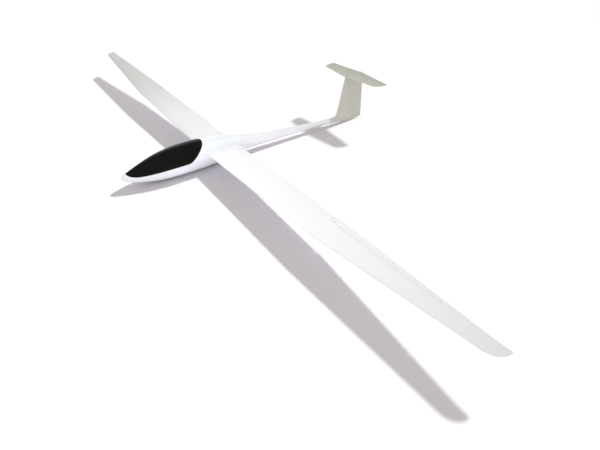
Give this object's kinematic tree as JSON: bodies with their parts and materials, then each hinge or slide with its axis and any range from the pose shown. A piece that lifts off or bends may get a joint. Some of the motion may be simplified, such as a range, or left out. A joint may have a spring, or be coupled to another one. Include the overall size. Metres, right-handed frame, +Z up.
{
  "type": "radio-controlled model sailplane",
  "caption": "White T-tail model glider with a black lift-off canopy, long tapered wings, hinged flaps, ailerons, rudder and elevator, and a half-sunk main wheel.",
  "frame": {"origin": "on the ground under the middle of the model, halfway between the nose tip and the rudder's trailing edge", "axes": "nose towards -Y, left wing towards +X, +Z up; the model is symmetric about x = 0 but for the rudder's horn"},
  "size_m": [2.5, 1.231, 0.2423],
  "materials": {
    "fuselage_gloss": "glossy moulded white",
    "canopy_black": "mirror-like black",
    "wing_foam": "smooth moulded foam, satin off-white",
    "tail_foam": "smooth moulded foam, satin warm grey",
    "black_plastic": "moulded black",
    "servo_plastic": "moulded black",
    "receiver_case": "moulded dark grey",
    "horn_nylon": "white nylon",
    "hub_nylon": "white nylon",
    "steel_wire": "bright drawn wire",
    "carbon_tube": "ground carbon fibre",
    "tyre_rubber": "foam rubber",
    "plywood": "bare birch plywood",
    "battery_sleeve": "heat-shrunk sleeve",
    "strap_cloth": "woven hook-and-loop strap"
  },
  "bodies": {
    "airframe": {"fuselage": "fuselage_gloss", "wing_left": "wing_foam", "wing_right": "wing_foam", "tail_fin": "tail_foam", "stabilizer": "tail_foam", "tail_skid": "tail_foam", "wing_joiner": "carbon_tube", "alignment_pin_left": "steel_wire", "alignment_pin_right": "steel_wire", "flap_servo_left": "servo_plastic", "flap_servo_right": "servo_plastic", "aileron_servo_left": "servo_plastic", "aileron_servo_right": "servo_plastic", "flap_pushrod_left": "steel_wire", "flap_pushrod_right": "steel_wire", "aileron_pushrod_left": "steel_wire", "aileron_pushrod_right": "steel_wire", "wheel_axle": "steel_wire", "wheel_bracket": "black_plastic", "rudder_pushrod": "steel_wire", "equipment_tray": "plywood", "battery": "battery_sleeve", "battery_strap": "strap_cloth", "receiver": "receiver_case", "rudder_servo": "servo_plastic", "elevator_servo": "servo_plastic"},
    "canopy": {"canopy_frame": "black_plastic", "canopy_glass": "canopy_black"},
    "flap_left": {"flap_left": "wing_foam", "flap_horn_left": "horn_nylon"},
    "flap_right": {"flap_right": "wing_foam", "flap_horn_right": "horn_nylon"},
    "aileron_left": {"aileron_left": "wing_foam", "aileron_horn_left": "horn_nylon"},
    "aileron_right": {"aileron_right": "wing_foam", "aileron_horn_right": "horn_nylon"},
    "rudder": {"rudder": "tail_foam", "rudder_horn": "horn_nylon"},
    "elevator": {"elevator": "tail_foam", "elevator_horn": "horn_nylon"},
    "main_wheel": {"wheel_tyre": "tyre_rubber", "wheel_hub": "hub_nylon"}
  },
  "joints": [
    {"name": "canopy_lift", "type": "slide", "parent": "airframe", "child": "canopy", "axis": [0, 0, 1], "range_m": [0, 0.11]},
    {"name": "flap_left_hinge", "type": "hinge", "parent": "airframe", "child": "flap_left", "pos_m": [0.3635, -0.17753, 0.08665], "axis": [-0.9992, 0.0231, -0.0322], "range_deg": [-5, 45]},
    {"name": "flap_right_hinge", "type": "hinge", "parent": "airframe", "child": "flap_right", "pos_m": [-0.3635, -0.17753, 0.08665], "axis": [-0.9992, -0.0231, 0.0322], "range_deg": [-5, 45]},
    {"name": "aileron_left_hinge", "type": "hinge", "parent": "airframe", "child": "aileron_left", "pos_m": [0.8655, -0.19306, 0.10745], "axis": [-0.9979, 0.0395, -0.0515], "range_deg": [-22, 14]},
    {"name": "aileron_right_hinge", "type": "hinge", "parent": "airframe", "child": "aileron_right", "pos_m": [-0.8655, -0.19306, 0.10745], "axis": [-0.9979, -0.0395, 0.0515], "range_deg": [-22, 14]},
    {"name": "rudder_hinge", "type": "hinge", "parent": "airframe", "child": "rudder", "pos_m": [0, 0.53949, 0.1155], "axis": [0, -0.1214, 0.9926], "range_deg": [-30, 30]},
    {"name": "elevator_hinge", "type": "hinge", "parent": "airframe", "child": "elevator", "pos_m": [0, 0.551, 0.234], "axis": [-1, 0, 0], "range_deg": [-18, 18]},
    {"name": "main_wheel_spin", "type": "hinge", "parent": "airframe", "child": "main_wheel", "pos_m": [0, -0.313, 0.022], "axis": [1, 0, 0], "continuous": true}
  ]
}
